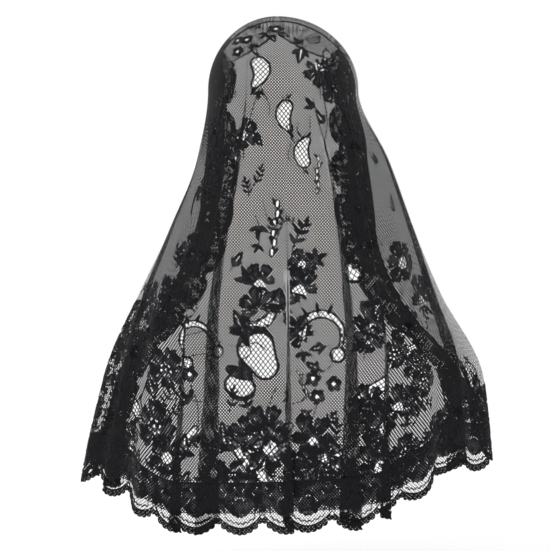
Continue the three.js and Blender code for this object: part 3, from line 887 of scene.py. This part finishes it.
def part_way(values, first, second, share):
    """Values at the points of outline_cells, from those at the points of the grid."""
    share = share.reshape(-1, *[1] * (values.ndim - 1))
    return values[first] * (1 - share) + values[second] * share


def drawing(field, x, y):
    """The part of a flat grid where a field is below 0: flat points, triangles and depths."""
    triangles, *cells = outline_cells(field)
    points = part_way(np.stack([x.ravel(), y.ravel()], axis=1), *cells)
    return points, triangles, np.maximum(0, -part_way(field.ravel(), *cells))


def drawn(motif, reach):
    """The close cloth of a motif as flat points, triangles and depths."""
    line = np.linspace(-reach, reach, int(2 * reach / DRAWING_STEP) + 1)
    x, y = np.meshgrid(line, line)
    return drawing(motif(x, y)[0], x, y)


def coarse_strands(motif, reach):
    """Flat lines of the coarse net that fills a motif's window."""
    lines = []
    width, height = COARSE_PITCH
    slope = height / width
    count = int(2 * reach * math.hypot(1, 1 / slope) / COARSE_STEP)
    y = np.linspace(-reach, reach, count)
    most = int(reach * 2.2 / width) * 2
    for sign in (-1, 1):
        for k in range(-most, most + 1):
            x = k * width + sign * y / slope
            _, _, net = motif(x, y)
            keep = (net < COARSE_TUCK) & (np.abs(x) < reach)
            starts = np.flatnonzero(np.diff(np.concatenate([[0], keep.astype(int), [0]])))
            for a, b in zip(starts[::2], starts[1::2]):
                if b - a > 2:
                    lines.append(np.stack([x[a:b], y[a:b]], axis=1))
    return lines


# Collecting geometry

def add_object(name, data):
    piece = bpy.data.objects.new(name, data)
    bpy.context.scene.collection.objects.link(piece)
    return piece


class Shape:
    """Vertices and faces gathered for one mesh, with flat coordinates for its UV map."""

    def __init__(self):
        self.points = []
        self.faces = []
        self.flats = []
        self.count = 0

    def add(self, points, faces, flats):
        self.points.append(points)
        self.faces.append(np.asarray(faces) + self.count)
        self.flats.append(flats)
        self.count += len(points)

    def build(self, name, material, smooth=True):
        points = np.concatenate(self.points) * MM
        faces = np.concatenate(self.faces)
        flats = np.concatenate(self.flats) * MM
        mesh = bpy.data.meshes.new(name)
        sides = faces.shape[1]
        mesh.vertices.add(len(points))
        mesh.vertices.foreach_set("co", points.astype(np.float32).ravel())
        mesh.loops.add(faces.size)
        mesh.loops.foreach_set("vertex_index", faces.astype(np.int32).ravel())
        mesh.polygons.add(len(faces))
        mesh.polygons.foreach_set("loop_start", np.arange(0, faces.size, sides, dtype=np.int32))
        layer = mesh.uv_layers.new(name="Flat")
        layer.data.foreach_set("uv", flats[faces.ravel()].astype(np.float32).ravel())
        mesh.update(calc_edges=True)
        mesh.validate()
        mesh.polygons.foreach_set("use_smooth", np.full(len(mesh.polygons), smooth))
        mesh.materials.append(material)
        piece = add_object(name, mesh)
        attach(piece, "root")
        return piece


def add_cloth(shape, points, triangles, depth, across, down, lift=CLOTH_LIFT):
    """Close cloth, a little above the net, with its outline cord standing higher."""
    position, normal = cloth_frame(across, down)
    rim = np.exp(-(((depth - RIM_WIDTH) / RIM_WIDTH) ** 2))
    position = position + normal * (lift + RIM_LIFT * rim * (depth > 0.05))[:, None]
    shape.add(position, triangles, points)


def add_tubes(shape, lines, place, radius, lift, sides=4, ends=0.5):
    """Round cords along flat lines. place maps flat points to across and down."""
    if not lines:
        return
    flat = np.concatenate(lines)
    across, down = place(flat)
    position, normal = cloth_frame(across, down)
    position = position + normal * lift
    start = 0
    for line in lines:
        n = len(line)
        centre = position[start:start + n]
        up = normal[start:start + n]
        start += n
        direction = np.gradient(centre, axis=0)
        direction /= np.maximum(np.linalg.norm(direction, axis=1, keepdims=True), 1e-9)
        aside = np.cross(direction, up)
        aside /= np.maximum(np.linalg.norm(aside, axis=1, keepdims=True), 1e-9)
        angles = np.arange(sides) * 2 * np.pi / sides + np.pi / sides
        radii = np.full(n, radius)
        radii[[0, -1]] *= ends
        ring = (
            centre[:, None, :]
            + radii[:, None, None] * np.cos(angles)[None, :, None] * aside[:, None, :]
            + radii[:, None, None] * np.sin(angles)[None, :, None] * up[:, None, :]
        ).reshape(-1, 3)
        i = np.arange(n - 1)[:, None] * sides
        k = np.arange(sides)[None, :]
        k2 = (k + 1) % sides
        quads = np.stack([i + k, i + k2, i + sides + k2, i + sides + k], axis=-1).reshape(-1, 4)
        along = np.concatenate([[0], np.cumsum(np.linalg.norm(np.diff(line, axis=0), axis=1))])
        flats = np.stack(
            [np.repeat(along, sides), np.tile(np.arange(sides) * radius * 1.6, n)], axis=1
        )
        shape.add(ring, quads, flats)


# Materials

def shader(name):
    material = bpy.data.materials.new(name)
    material.use_nodes = True
    nodes = material.node_tree.nodes
    return material, nodes, material.node_tree.links, nodes["Principled BSDF"]


def set_thread(principled, color, roughness, sheen):
    principled.inputs["Base Color"].default_value = (*color, 1)
    principled.inputs["Roughness"].default_value = roughness
    principled.inputs["Sheen Weight"].default_value = sheen
    principled.inputs["Sheen Roughness"].default_value = 0.45
    principled.inputs["Specular IOR Level"].default_value = 0.08


def flat_map(nodes):
    """The coordinates of the lace laid flat."""
    flat = nodes.new("ShaderNodeUVMap")
    flat.uv_map = "Flat"
    return flat.outputs["UV"]


def texture(nodes, links, kind, values):
    """A texture over the flat lace."""
    node = nodes.new(kind)
    for name, value in values.items():
        node.inputs[name].default_value = value
    links.new(flat_map(nodes), node.inputs["Vector"])
    return node


def add_bump(nodes, links, height, strength, distance, principled):
    bump = nodes.new("ShaderNodeBump")
    bump.inputs["Strength"].default_value = strength
    bump.inputs["Distance"].default_value = distance * MM
    links.new(height, bump.inputs["Height"])
    links.new(bump.outputs["Normal"], principled.inputs["Normal"])


def mix_surface(nodes, links, share, first, second):
    """Gives the material two shaders, the second by this share."""
    mix = nodes.new("ShaderNodeMixShader")
    for socket, value in zip(mix.inputs, (share, first, second)):
        links.new(value, socket)
    links.new(mix.outputs[0], nodes["Material Output"].inputs["Surface"])


def arithmetic(nodes, links, operation, first, second=None):
    node = nodes.new("ShaderNodeMath")
    node.operation = operation
    for socket, value in zip(node.inputs, (first, second)):
        if value is None:
            continue
        if isinstance(value, (int, float)):
            socket.default_value = value
        else:
            links.new(value, socket)
    return node.outputs[0]


def diamond_threads(nodes, links, pitch, thread, slant):
    """1 on the threads of a diamond net over the flat map and 0 in its holes."""
    split = nodes.new("ShaderNodeSeparateXYZ")
    links.new(flat_map(nodes), split.inputs[0])
    families = []
    for sign in (-1, 1):
        a = math.radians(slant) * sign
        u = arithmetic(nodes, links, "MULTIPLY", split.outputs["X"], math.sin(a) / (pitch * MM))
        v = arithmetic(nodes, links, "MULTIPLY", split.outputs["Y"], math.cos(a) / (pitch * MM))
        place = arithmetic(nodes, links, "FRACT", arithmetic(nodes, links, "ADD", u, v))
        families.append(arithmetic(nodes, links, "LESS_THAN", place, thread))
    return arithmetic(nodes, links, "MAXIMUM", *families)


def net_material(name, thread, color=(0.009, 0.009, 0.01)):
    """Fine net: black threads in a diamond mesh, clear between them.

    thread is their share of the pitch, or the name of a value that each vertex has.
    """
    material, nodes, links, principled = shader(name)
    set_thread(principled, color, 0.7, 0.02)
    if isinstance(thread, str):
        shares = nodes.new("ShaderNodeAttribute")
        shares.attribute_name = thread
        thread = shares.outputs["Fac"]
    clear = nodes.new("ShaderNodeBsdfTransparent")
    threads = diamond_threads(nodes, links, NET_PITCH, thread, NET_SLANT)
    mix_surface(nodes, links, threads, clear.outputs[0], principled.outputs[0])
    return material


def cloth_material(name):
    """Close cloth: woven black thread with a slight blue grey light on it, sheer in places."""
    material, nodes, links, principled = shader(name)
    set_thread(principled, (0.01, 0.01, 0.012), 0.62, 0.02)
    woven = {"Scale": 340, "Distortion": 1.5, "Detail": 2}
    weave = texture(nodes, links, "ShaderNodeTexWave", woven)
    cloud = texture(nodes, links, "ShaderNodeTexNoise", {"Scale": 90, "Detail": 3})
    ramp = nodes.new("ShaderNodeMix")
    ramp.data_type = "RGBA"
    ramp.inputs["A"].default_value = (0.003, 0.003, 0.004, 1)
    ramp.inputs["B"].default_value = (0.011, 0.0115, 0.014, 1)
    links.new(cloud.outputs["Fac"], ramp.inputs["Factor"])
    links.new(ramp.outputs["Result"], principled.inputs["Base Color"])
    add_bump(nodes, links, weave.outputs["Fac"], 0.5, 0.3, principled)
    sheer = nodes.new("ShaderNodeMapRange")
    sheer.inputs["From Min"].default_value = 0.45
    sheer.inputs["From Max"].default_value = 0.68
    sheer.inputs["To Max"].default_value = CLOTH_SHEER
    links.new(cloud.outputs["Fac"], sheer.inputs["Value"])
    clear = nodes.new("ShaderNodeBsdfTransparent")
    mix_surface(nodes, links, sheer.outputs["Result"], principled.outputs[0], clear.outputs[0])
    return material


def cord_material(name):
    """Twisted black cord."""
    material, nodes, links, principled = shader(name)
    set_thread(principled, (0.006, 0.006, 0.007), 0.5, 0.02)
    twist = texture(nodes, links, "ShaderNodeTexWave", {"Scale": 300})
    twist.bands_direction = "DIAGONAL"
    add_bump(nodes, links, twist.outputs["Fac"], 0.4, 0.2, principled)
    return material


# The net panel

def net_panel(places, material):
    """The fine net inside the edging, cut away in the windows of the motifs."""
    columns = np.linspace(0, 1, NET_COLUMNS + 1)
    rows = np.linspace(NET_TOP, 1, NET_ROWS + 1)
    across = np.repeat((2 * columns - 1)[None, :], NET_ROWS + 1, axis=0)
    for _ in range(SEAM_ROUNDS):
        down = rows[:, None] * hem_inset(across, EDGING_WIDTH)
        first, last = (
            length_at(face_inset(side, down[:, column], EDGING_WIDTH), down[:, column])
            for side, column in ((-1, 0), (1, -1))
        )
        lengths = first[:, None] + (last - first)[:, None] * columns[None, :]
        across = across_at(lengths, down)
    keep = np.full(across.shape, NOTHING)
    for kind, place_across, place_down, turn, size, mirror in places:
        motif, reach = MOTIFS[kind]
        y = (place_down - down) / down_per_mm(place_across)
        limit = reach * size * MOTIF_MARGIN
        near = np.abs(y) < limit
        x = length_at(across, down) - length_at(np.full_like(down, place_across), down)
        near &= np.abs(x) < limit
        if not near.any():
            continue
        a = math.radians(-turn)
        u = (x * math.cos(a) - y * math.sin(a)) * mirror / size
        v = (x * math.sin(a) + y * math.cos(a)) / size
        window = motif(u[near], v[near])[1] * size
        keep[near] = np.minimum(keep[near], window)
    keep[under_fold(across, down)] = NOTHING
    triangles, *cells = outline_cells(-keep)
    across, down = (part_way(values.ravel(), *cells) for values in (across, down))
    position, outward = cloth_frame(across, down)
    flats = np.stack([length_at(across, down), -down / down_per_mm(0.0)], axis=1)
    hidden = under_fold(across, down)
    flats[hidden] *= FOLD_NET_SCALE
    shape = Shape()
    shape.add(position, triangles, flats)
    panel = shape.build("net", material)
    thread = np.interp(np.abs(across), FLAP_NET_FROM, (NET_THREAD, FLAP_NET_THREAD))
    thread[hidden] = FOLD_NET_THREAD
    for side, (full, gone) in HEAD_SIDE_DOWN.items():
        turned = np.interp(side * outward[:, 0], HEAD_SIDE_TURN, (0, HEAD_SIDE_THREAD))
        thread = np.maximum(thread, turned * np.interp(down, (full, gone), (1, 0)))
    shares = panel.data.attributes.new("thread", "FLOAT", "POINT")
    shares.data.foreach_set("value", thread.astype(np.float32))
    return panel


def motif_pieces(places, cloth, cord):
    """The motifs' close cloth and the coarse net in their windows."""
    drawings = {kind: drawn(*MOTIFS[kind]) for kind in {place[0] for place in places}}
    strands = {kind: coarse_strands(*MOTIFS[kind]) for kind in drawings}
    shapes = {}
    coarse = Shape()
    for kind, across, down, turn, size, mirror in places:
        points, triangles, depth = drawings[kind]
        shape = shapes.setdefault(kind, Shape())

        def place(flat):
            return lay(flat, across, down, turn, size, mirror)

        a, d = place(points)
        seen = ~under_fold(a, d)
        used, order = np.unique(triangles[seen[triangles].any(axis=1)], return_inverse=True)
        add_cloth(shape, points[used], order.reshape(-1, 3), depth[used] * size, a[used], d[used])
        middles = (place(line[len(line) // 2][None]) for line in strands[kind])
        lines = [line for line, middle in zip(strands[kind], middles) if not under_fold(*middle).any()]
        add_tubes(coarse, lines, place, COARSE_THREAD / 2, 0.1, sides=3)
    pieces = [shape.build("motif_" + kind, cloth) for kind, shape in shapes.items()]
    pieces.append(coarse.build("coarse_net", cord))
    return pieces


def smooth_line(points, count=24):
    """A smooth line through a few points."""
    points = np.array(points)
    ends = np.array([2 * points[0] - points[1], 2 * points[-1] - points[-2]])
    p = np.concatenate([ends[:1], points, ends[1:]])
    line = []
    for i in range(1, len(p) - 2):
        t = np.linspace(0, 1, count, endpoint=False)[:, None]
        line.append(0.5 * (
            2 * p[i] + (p[i + 1] - p[i - 1]) * t
            + (2 * p[i - 1] - 5 * p[i] + 4 * p[i + 1] - p[i + 2]) * t ** 2
            + (3 * p[i] - p[i - 1] - 3 * p[i + 1] + p[i + 2]) * t ** 3
        ))
    return np.concatenate(line + [points[-1:]])


def joining_cords(material):
    """The cords that join the motifs. Their lines are already across and down."""
    shape = Shape()
    lines = [smooth_line(points, 10) for points in CORDS]
    add_tubes(shape, lines, lambda line: (line[:, 0], line[:, 1]), CORD / 2, 0.3)
    return shape.build("joining_cords", material)


# The edging. A scallop is drawn with x along it from one cusp to the next and y down from the
# seam, and the shapes are laid along the whole strip.

HEADING = {"hem": 31.0, "face": 38.0, "flap": 14.0}  # close cloth below the seam
FLAP_EDGE_FROM = 350.0  # along the face edge from its middle to where the flap begins
LOBE = (17.5, 22.5)  # half width and height of its lobe in the middle of a scallop
RUFFLE = (6.4, 1.3)  # length and height of the waves along the lobe
LIGHT_NET_FROM = 36.5  # the edging's net is thinner below this
PICOT_RADIUS = 4.0
PICOTS = 9  # on each scallop
BORDER = 8.4  # edge to the cord above the picots
ZIGZAG = (5.4, 1.3, 6.4)  # above the border, height of the waves and their length
BARE_FOREHEAD = 85.0  # no close cloth on the face edging this near its middle
PICOT_END = 0.86  # size of the first and last of a scallop

# Feet of the stems under the heading, and how far they lean
EDGE_STEMS = ((2, 1.5), (8, 2.5), (SCALLOP_PITCH - 8, -2.5), (SCALLOP_PITCH - 2, -1.5))
# Small leaf slits in the heading: share of the pitch, mm below the seam, angle
EDGE_LEAVES = ((0.06, 5, 60), (0.2, 11, 115), (0.36, 4, 70), (0.6, 5, 110), (0.78, 11, 65), (0.9, 4, 120))


def scallop_edge(x):
    swell = np.abs(np.sin(np.pi * x / SCALLOP_PITCH))
    return EDGING_WIDTH - SCALLOP_DEPTH * (1 - swell ** SCALLOP_FULLNESS)


def edging_cloth(x, y, heading):
    """Close cloth of the edging over one pitch."""
    middle = SCALLOP_PITCH / 2
    across = (x - middle) / LOBE[0]
    ruffle = RUFFLE[1] * np.abs(np.sin(np.pi * (x - middle) / RUFFLE[0]))
    lobe = (np.hypot(across, (y - 18) / LOBE[1]) - 1) * LOBE[0] - ruffle
    band = np.maximum(y - heading - 1.6 * np.cos(4 * np.pi * x / SCALLOP_PITCH), 0.3 - y)
    stems = [
        stroke(x, y, [(foot, heading - 2), (foot + lean, heading + 7)], [1.3, 0.7])
        for foot, lean in EDGE_STEMS
    ]
    threads = [
        stroke(x, y, [(middle + side * 3, 12), (middle + side * 11, 25)], [0.2, 0.75])
        for side in (-1, 1)
    ]
    bow = arc_points(middle, 24, 7, 200, 340, 7)
    threads.append(stroke(x, y, bow, [0.3, 0.7, 0.9, 1, 0.9, 0.7, 0.3]))
    threads += [
        leaf(x, y, SCALLOP_PITCH * share, height, angle, 7, 1.9)
        for share, height, angle in EDGE_LEAVES
    ]
    return cut(merge(lobe, band, *stems), *threads)


def strip_place(kind, total):
    """Maps (length along a strip, mm down from its seam) to across and down."""
    if kind == "hem":
        left = -length_at(np.array([-1.0]), np.array([1.0]))[0]

        def place(flat):
            x = np.clip(flat[:, 0], 0, total)
            across = across_at(x - left, np.ones(len(x)))
            return across, np.minimum(hem_inset(across, EDGING_WIDTH - flat[:, 1]), 1.0)

        return place
    halves = face_halves()
    right = halves[1][0][-1]

    def place(flat):
        x = np.clip(flat[:, 0], 0, total)
        side = np.where(x < right, 1.0, -1.0)
        across = np.zeros(len(x))
        down = np.zeros(len(x))
        for sign in (1, -1):
            on = side == sign
            lengths, downs = halves[sign]
            d = np.interp(np.abs(x[on] - right), lengths, downs)
            share = d / downs[-1]
            a = np.full(on.sum(), float(sign))
            for _ in range(SEAM_ROUNDS):
                d = share * hem_inset(a, EDGING_WIDTH)
                a = face_inset(sign, d, EDGING_WIDTH - flat[on, 1])
            across[on], down[on] = a, d
        return across, np.maximum(down, EDGING_TOP)

    return place


def face_halves():
    """For each side, lengths along the face edge down from the forehead, and their downs."""
    halves = {}
    for sign in (1, -1):
        lowest = hem_inset(np.array([float(sign)]), EDGING_WIDTH)[0]
        downs = np.linspace(0.0, lowest, FACE_SAMPLES)
        points = cloth_point(np.full(FACE_SAMPLES, float(sign)), downs)
        steps = np.linalg.norm(np.diff(points, axis=0), axis=1)
        halves[sign] = (np.concatenate([[0], np.cumsum(steps)]), downs)
    return halves


def strip_length(kind):
    if kind == "hem":
        ends = length_at(np.array([-1.0, 1.0]), np.ones(2))
        return ends[1] - ends[0]
    halves = face_halves()
    return halves[1][0][-1] + halves[-1][0][-1]


def edging_pieces(kind, nets, cloth, cord):
    """One strip of edging: its two nets, its close cloth, its cords and its picots."""
    total = strip_length(kind)
    scallops = max(2, round(total / SCALLOP_PITCH))
    stretch = total / scallops / SCALLOP_PITCH
    place = strip_place(kind, total)
    forehead = face_halves()[1][0][-1] if kind == "face" else -total

    def flat_grid(step, depth):
        columns = np.linspace(0, SCALLOP_PITCH, int(SCALLOP_PITCH / step) + 1)
        return np.meshgrid(columns, np.linspace(0, depth, int(depth / step) + 1))

    def shifted(flat, k):
        moved = flat.copy()
        moved[:, 0] = (moved[:, 0] + k * SCALLOP_PITCH) * stretch
        return moved

    x, y = flat_grid(NET_STEP, EDGING_WIDTH)
    below = y - (scallop_edge(x) - PICOT_RADIUS * 1.3)
    drawings = {
        "net": drawing(np.maximum(below, y - LIGHT_NET_FROM), x, y),
        "light_net": drawing(np.maximum(below, LIGHT_NET_FROM - y), x, y),
    }
    x, y = flat_grid(DRAWING_STEP, EDGING_WIDTH - SCALLOP_DEPTH)
    cloths = {name: drawing(edging_cloth(x, y, depth), x, y) for name, depth in HEADING.items()}
    lines = edging_lines()
    shapes = {name: Shape() for name in ("net", "light_net", "cloth", "cords", "picots")}
    for k in range(scallops):
        from_forehead = abs((k + 0.5) * SCALLOP_PITCH * stretch - forehead)
        bare = from_forehead < BARE_FOREHEAD
        narrow = not BARE_FOREHEAD + SCALLOP_PITCH < from_forehead < FLAP_EDGE_FROM
        drawings["cloth"] = cloths["flap" if kind == "face" and narrow else kind]
        for name, (points, triangles, depth) in drawings.items():
            if name == "cloth" and bare:
                continue
            light = bare or name == "light_net" and kind == "hem"
            target = shapes["cloth" if name == "cloth" else "light_net" if light else "net"]
            flat = shifted(points, k)
            across, down = place(flat)
            if name == "cloth":
                add_cloth(target, flat, triangles, depth, across, down)
            else:
                position, _ = cloth_frame(across, down)
                target.add(position, triangles, flat)
        for radius, lift, group in lines["border"] if bare else lines["border"] + lines["work"]:
            add_tubes(shapes["cords"], [shifted(line, k) for line in group], place, radius, lift)
        for cx, cy, r in () if bare else picot_places():
            add_picot(shapes, shifted(np.array([[cx, cy]]), k), r, place)
    materials = (nets[0], nets[1], cloth, cord, nets[2])
    return [
        shape.build(kind + "_edging_" + name, material)
        for (name, shape), material in zip(shapes.items(), materials)
    ]


def add_picot(shapes, centre, r, place):
    """One round loop of the border, filled with close net."""
    angles = np.linspace(0, 2 * np.pi, PICOT_SIDES + 1)
    ring = centre + np.stack([r * np.cos(angles), r * np.sin(angles)], axis=1)
    add_tubes(shapes["cords"], [ring], place, PICOT_CORD, 0.1, ends=1.0)
    flat = np.concatenate([centre, ring[:-1]])
    across, down = place(flat)
    position, _ = cloth_frame(across, down)
    spokes = [(0, i, i % PICOT_SIDES + 1) for i in range(1, PICOT_SIDES + 1)]
    shapes["picots"].add(position, spokes, flat)


def edging_lines():
    """Cords of one scallop: radius, lift and their flat lines, plain ones first."""
    x = np.linspace(0, SCALLOP_PITCH, 41)
    border = scallop_edge(x) - BORDER
    above, height, length = ZIGZAG
    zigzag = border - above + height * np.sin(2 * np.pi * x / length)
    inner = slice(6, -6)
    seam = np.stack([x, np.full_like(x, -0.3)], axis=1)
    cusp = float(border[0])
    windows = []
    t = np.linspace(0, 1, 12)
    for side in (0, 1):
        foot = SCALLOP_PITCH * side
        sign = 1 - 2 * side
        for x_run, fall in ((0.6 + 14 * t, -9 * t + 8 * t ** 2), (0.4 + 0.8 * t, -10 * t)):
            windows.append(np.stack([foot + sign * x_run, cusp - 1 + fall], axis=1))
    return {
        "border": [(0.85, 0.2, [np.stack([x, border], axis=1)]), (1.1, 0.2, [seam])],
        "work": [(0.9, 0.2, [np.stack([x, zigzag], axis=1)[inner]]), (0.55, 0.25, windows)],
    }


def picot_places():
    """Centres and radii of the picots of one scallop."""
    out = []
    for k in range(PICOTS):
        cx = SCALLOP_PITCH * (k + 0.5) / PICOTS
        cy = float(scallop_edge(np.array([cx]))[0]) - PICOT_RADIUS
        out.append((cx, cy, PICOT_RADIUS * (PICOT_END if k in (0, PICOTS - 1) else 1.0)))
    return out


# Camera, light and floor

def camera_and_light():
    scene = bpy.context.scene
    camera = bpy.data.cameras.new("camera")
    camera.sensor_fit = "HORIZONTAL"
    camera.angle = 2 * math.atan(VIEW_WIDTH / 2 / CAMERA_DISTANCE)
    holder = add_object("camera", camera)
    holder.location = (CAMERA_ASIDE * MM, -CAMERA_DISTANCE * MM, CAMERA_LEVEL * MM)
    holder.rotation_euler = (math.pi / 2, 0, 0)
    scene.camera = holder
    world = bpy.data.worlds.new("studio")
    world.use_nodes = True
    background = world.node_tree.nodes["Background"]
    background.inputs["Color"].default_value = (1, 1, 1, 1)
    background.inputs["Strength"].default_value = 1.0
    scene.world = world
    scene.view_settings.view_transform = "Standard"
    for name, place, power, size in (
        ("key", (-1.5, -2.2, 1.0), 16, 1.2),
        ("fill", (1.8, -1.6, 0.4), 6, 1.6),
    ):
        light = bpy.data.lights.new(name, "AREA")
        light.energy = power
        light.size = size
        lamp = add_object(name, light)
        lamp.location = place
        aim = np.array([0, 0, -0.3]) - np.array(place)
        yaw = math.atan2(aim[1], aim[0]) - math.pi / 2
        pitch = math.atan2(aim[2], math.hypot(aim[0], aim[1])) + math.pi / 2
        lamp.rotation_euler = (pitch, 0, yaw)


def floor():
    material, _, _, principled = shader("floor")
    principled.inputs["Base Color"].default_value = (1, 1, 1, 1)
    principled.inputs["Roughness"].default_value = 0.9
    mesh = bpy.data.meshes.new("floor")
    corners = [(x * FLOOR_HALF, y * FLOOR_HALF, FLOOR_LEVEL * MM) for x, y in
               ((-1, -1), (1, -1), (1, 1), (-1, 1))]
    mesh.from_pydata(corners, [], [(0, 1, 2, 3)])
    mesh.materials.append(material)
    piece = add_object("floor", mesh)


def main():
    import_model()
    camera_and_light()
    floor()
    fine_net = net_material("fine_net", "thread")
    cloth = cloth_material("close_cloth")
    cord = cord_material("cord")
    places = PLACES + side_places() + seam_leaves()
    net = net_panel(places, fine_net)
    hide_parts("lace_panel")
    riding = motif_pieces(places, cloth, cord) + [joining_cords(cord)]
    nets = [
        net_material("edging_net", EDGING_NET_THREAD),
        net_material("light_net", LIGHT_NET_THREAD),
        net_material("picot_net", PICOT_NET_THREAD),
    ]
    for kind in ("hem", "face"):
        pieces = edging_pieces(kind, nets, cloth, cord)
        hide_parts(kind + "_edging")
        riding += pieces


main()
